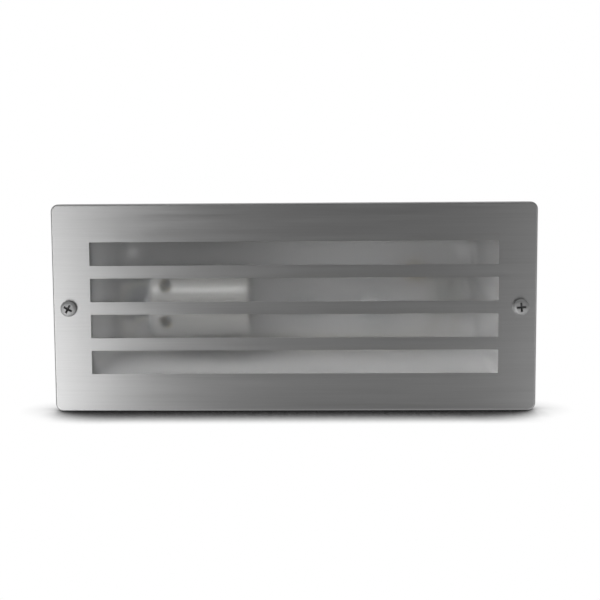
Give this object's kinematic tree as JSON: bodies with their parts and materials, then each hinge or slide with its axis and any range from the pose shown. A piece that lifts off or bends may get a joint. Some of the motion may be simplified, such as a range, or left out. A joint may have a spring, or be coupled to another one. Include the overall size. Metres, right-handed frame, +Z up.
{
  "type": "recessed wall light",
  "caption": "Recessed brick-sized wall light: slotted brushed steel front over frosted glass, die-cast box behind with a large Edison lampholder and a cable gland.",
  "frame": {"origin": "middle of the face of the wall, on the back of the box flange", "axes": "+X to the right seen from the front, +Y into the wall, +Z up"},
  "size_m": [0.255, 0.1114, 0.11],
  "materials": {
    "brushed_stainless": "satin",
    "stainless_screw": "polished",
    "frosted_glass": "matte",
    "silicone_seal": "matte",
    "diecast_aluminium": "satin",
    "zinc_steel": "satin",
    "zinc_screw": "satin",
    "porcelain": "gloss",
    "nickel_brass": "satin",
    "brass": "satin",
    "pale_polyamide": "satin",
    "sleeved_lead": "matte",
    "grey_polyamide": "satin",
    "black_rubber": "matte"
  },
  "bodies": {
    "housing": {"back_box": "diecast_aluminium", "flange_gasket": "silicone_seal", "holder_bracket": "zinc_steel", "bracket_screws": "zinc_screw", "holder_screws": "zinc_screw", "holder_base": "porcelain", "holder_skirt": "porcelain", "holder_terminals": "brass", "holder_terminal_screws": "zinc_screw", "screw_shell": "nickel_brass", "contact_foot": "brass", "terminal_block": "pale_polyamide", "terminal_inserts": "brass", "terminal_screws": "zinc_screw", "block_screw": "zinc_screw", "live_lead": "sleeved_lead", "neutral_lead": "sleeved_lead", "earth_washer": "brass", "earth_screw": "brass", "gland_body": "grey_polyamide", "gland_oring": "black_rubber", "gland_locknut": "grey_polyamide", "gland_seal": "black_rubber", "blanking_plug": "grey_polyamide"},
    "front_cover": {"faceplate": "brushed_stainless", "glass_seal": "silicone_seal", "diffuser_glass": "frosted_glass"},
    "left_screw": {"left_cover_screw": "stainless_screw"},
    "right_screw": {"right_cover_screw": "stainless_screw"},
    "gland_cap": {"gland_nut": "grey_polyamide"},
    "centre_contact": {"contact_tongue": "brass"}
  },
  "joints": [
    {"name": "cover_release", "type": "slide", "parent": "housing", "child": "front_cover", "axis": [0, -1, 0], "range_m": [0, 0.06]},
    {"name": "left_screw_turn", "type": "hinge", "parent": "front_cover", "child": "left_screw", "pos_m": [-0.119, -0.011, 0], "axis": [0, -1, 0], "continuous": true},
    {"name": "right_screw_turn", "type": "hinge", "parent": "front_cover", "child": "right_screw", "pos_m": [0.119, -0.011, 0], "axis": [0, -1, 0], "continuous": true},
    {"name": "gland_nut_turn", "type": "hinge", "parent": "housing", "child": "gland_cap", "pos_m": [0.045, 0.087, -0.008], "axis": [0, 1, 0], "continuous": true},
    {"name": "contact_press", "type": "hinge", "parent": "housing", "child": "centre_contact", "pos_m": [-0.0624, 0.032, -0.003], "axis": [0, -1, 0], "range_deg": [0, 12], "stiffness_Nm_per_rad": 0.19}
  ]
}
